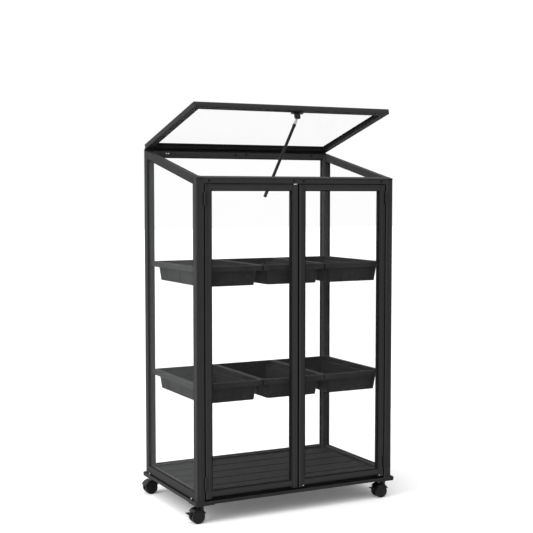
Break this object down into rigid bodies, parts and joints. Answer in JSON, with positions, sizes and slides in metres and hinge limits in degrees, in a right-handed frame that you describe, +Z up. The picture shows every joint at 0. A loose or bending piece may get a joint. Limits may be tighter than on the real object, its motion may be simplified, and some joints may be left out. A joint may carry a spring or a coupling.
{
  "type": "balcony greenhouse",
  "caption": "Upright balcony greenhouse on castors: metal posts and rails around clear panes, two hinged front doors, a propped roof lid, tray shelves and a slatted floor.",
  "frame": {"origin": "on the ground, midway between the outer faces of the corner posts", "axes": "X runs to the right seen from the front, Y runs from the doors to the back, Z runs up"},
  "size_m": [0.8417, 0.51, 1.4665],
  "materials": {
    "frame_metal": "anthracite powder coat, satin",
    "base_metal": "anthracite powder coat, satin",
    "hinge_metal": "dark grey coat, satin",
    "bright_steel": "zinc plated",
    "glass": "clear, polished",
    "tray_plastic": "black moulded plastic, matt",
    "trim_plastic": "dark moulded plastic, matt",
    "stay_sleeve": "black plastic sleeve, satin",
    "floor_board": "dark grey composite board, fine grain",
    "castor_plastic": "black nylon, satin",
    "wheel_plastic": "black nylon, matt"
  },
  "bodies": {
    "frame": {"front_left_post": "frame_metal", "front_right_post": "frame_metal", "rear_left_post": "frame_metal", "rear_right_post": "frame_metal", "post_caps": "trim_plastic", "front_header": "frame_metal", "rear_top_rail": "frame_metal", "roof_side_rails": "frame_metal", "bottom_side_rails": "frame_metal", "rear_bottom_rail": "frame_metal", "left_pane": "glass", "right_pane": "glass", "rear_pane": "glass", "floor_boards": "floor_board", "floor_bearers": "base_metal", "base_angles": "base_metal", "castor_plates": "base_metal", "upper_shelf_frame": "base_metal", "lower_shelf_frame": "base_metal", "door_hinge_post_leaves": "hinge_metal", "lid_hinge_frame_leaves": "hinge_metal", "hinge_pins": "bright_steel", "stay_keeper": "bright_steel", "door_catches": "trim_plastic"},
    "lid": {"lid_front_rail": "frame_metal", "lid_rear_rail": "frame_metal", "lid_side_rails": "frame_metal", "lid_pane": "glass", "lid_hinge_lid_leaves": "hinge_metal", "stay_bracket": "base_metal"},
    "stay": {"stay_rod": "bright_steel", "stay_tube": "stay_sleeve"},
    "left_door": {"left_door_stiles": "frame_metal", "left_door_rails": "frame_metal", "left_door_pane": "glass", "left_door_hinge_leaves": "hinge_metal"},
    "right_door": {"right_door_stiles": "frame_metal", "right_door_rails": "frame_metal", "right_door_pane": "glass", "right_door_hinge_leaves": "hinge_metal"},
    "upper_left_tray": {"upper_left_tray": "tray_plastic"},
    "upper_middle_tray": {"upper_middle_tray": "tray_plastic"},
    "upper_right_tray": {"upper_right_tray": "tray_plastic"},
    "lower_left_tray": {"lower_left_tray": "tray_plastic"},
    "lower_middle_tray": {"lower_middle_tray": "tray_plastic"},
    "lower_right_tray": {"lower_right_tray": "tray_plastic"},
    "front_left_castor": {"front_left_castor_housing": "castor_plastic"},
    "front_left_castor_front_wheel": {"front_left_castor_front_wheel": "wheel_plastic"},
    "front_left_castor_back_wheel": {"front_left_castor_back_wheel": "wheel_plastic"},
    "front_left_castor_brake_pedal": {"front_left_castor_brake_pedal": "castor_plastic"},
    "front_right_castor": {"front_right_castor_housing": "castor_plastic"},
    "front_right_castor_front_wheel": {"front_right_castor_front_wheel": "wheel_plastic"},
    "front_right_castor_back_wheel": {"front_right_castor_back_wheel": "wheel_plastic"},
    "front_right_castor_brake_pedal": {"front_right_castor_brake_pedal": "castor_plastic"},
    "rear_left_castor": {"rear_left_castor_housing": "castor_plastic"},
    "rear_left_castor_front_wheel": {"rear_left_castor_front_wheel": "wheel_plastic"},
    "rear_left_castor_back_wheel": {"rear_left_castor_back_wheel": "wheel_plastic"},
    "rear_right_castor": {"rear_right_castor_housing": "castor_plastic"},
    "rear_right_castor_front_wheel": {"rear_right_castor_front_wheel": "wheel_plastic"},
    "rear_right_castor_back_wheel": {"rear_right_castor_back_wheel": "wheel_plastic"}
  },
  "joints": [
    {"name": "left_door_hinge", "type": "hinge", "parent": "frame", "child": "left_door", "pos_m": [-0.36975, -0.2482, 0.6], "axis": [0, 0, -1], "range_deg": [0, 165]},
    {"name": "right_door_hinge", "type": "hinge", "parent": "frame", "child": "right_door", "pos_m": [0.36975, -0.2482, 0.6], "axis": [0, 0, 1], "range_deg": [0, 165]},
    {"name": "lid_hinge", "type": "hinge", "parent": "frame", "child": "lid", "pos_m": [0, 0.2495, 1.3177], "axis": [1, 0, 0], "range_deg": [0, 28]},
    {"name": "stay_swing", "type": "hinge", "parent": "lid", "child": "stay", "pos_m": [0.013, -0.21067, 1.42456], "axis": [1, 0, 0], "range_deg": [0, 72]},
    {"name": "upper_left_tray_lift", "type": "slide", "parent": "frame", "child": "upper_left_tray", "axis": [0, 0, 1], "range_m": [0, 0.04]},
    {"name": "upper_middle_tray_lift", "type": "slide", "parent": "frame", "child": "upper_middle_tray", "axis": [0, 0, 1], "range_m": [0, 0.04]},
    {"name": "upper_right_tray_lift", "type": "slide", "parent": "frame", "child": "upper_right_tray", "axis": [0, 0, 1], "range_m": [0, 0.04]},
    {"name": "lower_left_tray_lift", "type": "slide", "parent": "frame", "child": "lower_left_tray", "axis": [0, 0, 1], "range_m": [0, 0.04]},
    {"name": "lower_middle_tray_lift", "type": "slide", "parent": "frame", "child": "lower_middle_tray", "axis": [0, 0, 1], "range_m": [0, 0.04]},
    {"name": "lower_right_tray_lift", "type": "slide", "parent": "frame", "child": "lower_right_tray", "axis": [0, 0, 1], "range_m": [0, 0.04]},
    {"name": "front_left_castor_swivel", "type": "hinge", "parent": "frame", "child": "front_left_castor", "pos_m": [-0.378, -0.223, 0.065], "axis": [0, 0, 1], "continuous": true},
    {"name": "front_left_castor_front_wheel_spin", "type": "hinge", "parent": "front_left_castor", "child": "front_left_castor_front_wheel", "pos_m": [-0.393, -0.223, 0.024], "axis": [0, 1, 0], "continuous": true},
    {"name": "front_left_castor_back_wheel_spin", "type": "hinge", "parent": "front_left_castor", "child": "front_left_castor_back_wheel", "pos_m": [-0.393, -0.223, 0.024], "axis": [0, 1, 0], "continuous": true},
    {"name": "front_left_castor_brake_press", "type": "hinge", "parent": "front_left_castor", "child": "front_left_castor_brake_pedal", "pos_m": [-0.4177, -0.223, 0.03552], "axis": [0, -1, 0], "range_deg": [0, 15]},
    {"name": "front_right_castor_swivel", "type": "hinge", "parent": "frame", "child": "front_right_castor", "pos_m": [0.378, -0.223, 0.065], "axis": [0, 0, 1], "continuous": true},
    {"name": "front_right_castor_front_wheel_spin", "type": "hinge", "parent": "front_right_castor", "child": "front_right_castor_front_wheel", "pos_m": [0.363, -0.223, 0.024], "axis": [0, 1, 0], "continuous": true},
    {"name": "front_right_castor_back_wheel_spin", "type": "hinge", "parent": "front_right_castor", "child": "front_right_castor_back_wheel", "pos_m": [0.363, -0.223, 0.024], "axis": [0, 1, 0], "continuous": true},
    {"name": "front_right_castor_brake_press", "type": "hinge", "parent": "front_right_castor", "child": "front_right_castor_brake_pedal", "pos_m": [0.3383, -0.223, 0.03552], "axis": [0, -1, 0], "range_deg": [0, 15]},
    {"name": "rear_left_castor_swivel", "type": "hinge", "parent": "frame", "child": "rear_left_castor", "pos_m": [-0.378, 0.223, 0.065], "axis": [0, 0, 1], "continuous": true},
    {"name": "rear_left_castor_front_wheel_spin", "type": "hinge", "parent": "rear_left_castor", "child": "rear_left_castor_front_wheel", "pos_m": [-0.393, 0.223, 0.024], "axis": [0, 1, 0], "continuous": true},
    {"name": "rear_left_castor_back_wheel_spin", "type": "hinge", "parent": "rear_left_castor", "child": "rear_left_castor_back_wheel", "pos_m": [-0.393, 0.223, 0.024], "axis": [0, 1, 0], "continuous": true},
    {"name": "rear_right_castor_swivel", "type": "hinge", "parent": "frame", "child": "rear_right_castor", "pos_m": [0.378, 0.223, 0.065], "axis": [0, 0, 1], "continuous": true},
    {"name": "rear_right_castor_front_wheel_spin", "type": "hinge", "parent": "rear_right_castor", "child": "rear_right_castor_front_wheel", "pos_m": [0.363, 0.223, 0.024], "axis": [0, 1, 0], "continuous": true},
    {"name": "rear_right_castor_back_wheel_spin", "type": "hinge", "parent": "rear_right_castor", "child": "rear_right_castor_back_wheel", "pos_m": [0.363, 0.223, 0.024], "axis": [0, 1, 0], "continuous": true}
  ]
}
